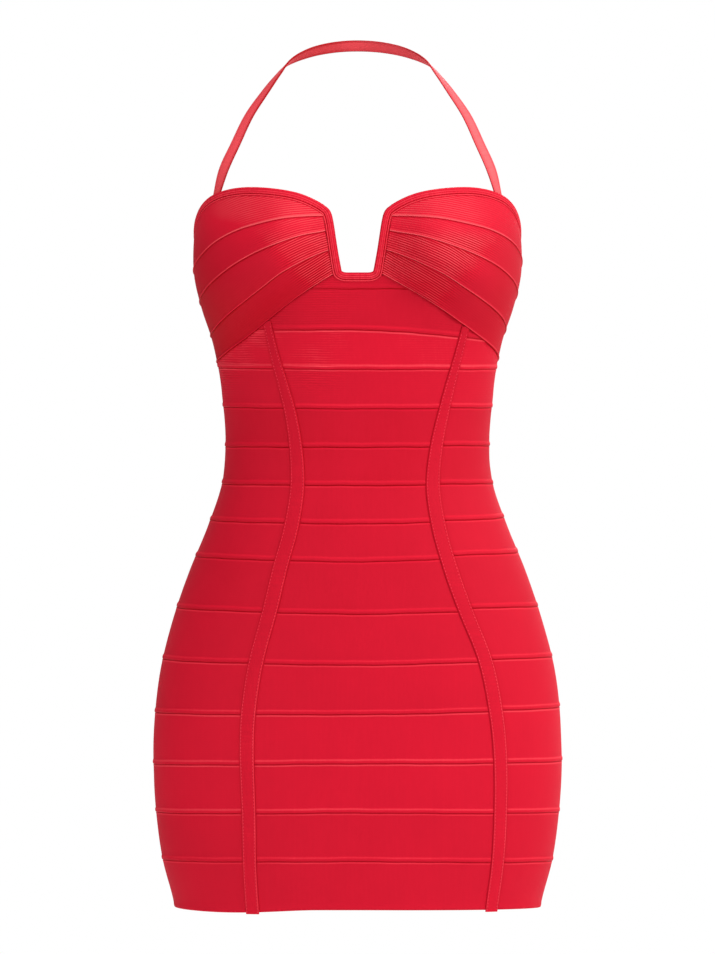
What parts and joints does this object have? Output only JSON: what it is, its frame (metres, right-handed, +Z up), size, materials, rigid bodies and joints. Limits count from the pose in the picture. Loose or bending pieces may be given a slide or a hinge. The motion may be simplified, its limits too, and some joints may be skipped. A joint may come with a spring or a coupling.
{
  "type": "bodycon dress",
  "caption": "Short figure-hugging bandage-knit dress with raised horizontal bands, moulded cups round a square notch, seam tapes, a thin halter strap and a back zip, filled out as worn.",
  "frame": {"origin": "middle of the neck strap's inner face at the nape, where the wearer's neck holds the dress up", "axes": "+Z up along the body, -Y the front of the dress, +X the wearer's left, which is on the right of someone who looks at its front"},
  "size_m": [0.3783, 0.242, 0.8015],
  "materials": {
    "panels": "dense red bandage knit, soft satin sheen",
    "cups": "the same knit over moulded pads, ribs along the bands",
    "tapes": "flat folded knit tape, stitched down along both edges",
    "binding": "rolled knit binding, stitched in fine parallel lines",
    "strap": "narrow flat knit strap",
    "zip_tape": "woven zip tape, matt",
    "zip_metal": "enamelled in the dress's red, semi-gloss"
  },
  "bodies": {
    "dress": {"front_centre": "panels", "front_side_left": "panels", "front_side_right": "panels", "back_left": "panels", "back_right": "panels", "cup_left": "cups", "cup_right": "cups", "seam_tape_left": "tapes", "seam_tape_right": "tapes", "binding_front": "binding", "binding_back_left": "binding", "binding_back_right": "binding", "halter_strap": "strap", "zip_tape": "zip_tape", "zip_slider": "zip_metal"},
    "zip_pull": {"zip_tab": "zip_metal"}
  },
  "joints": [
    {"name": "zip_pull_swing", "type": "hinge", "parent": "dress", "child": "zip_pull", "pos_m": [0, 0.02895, -0.2287], "axis": [1, 0, 0], "range_deg": [0, 170]}
  ]
}
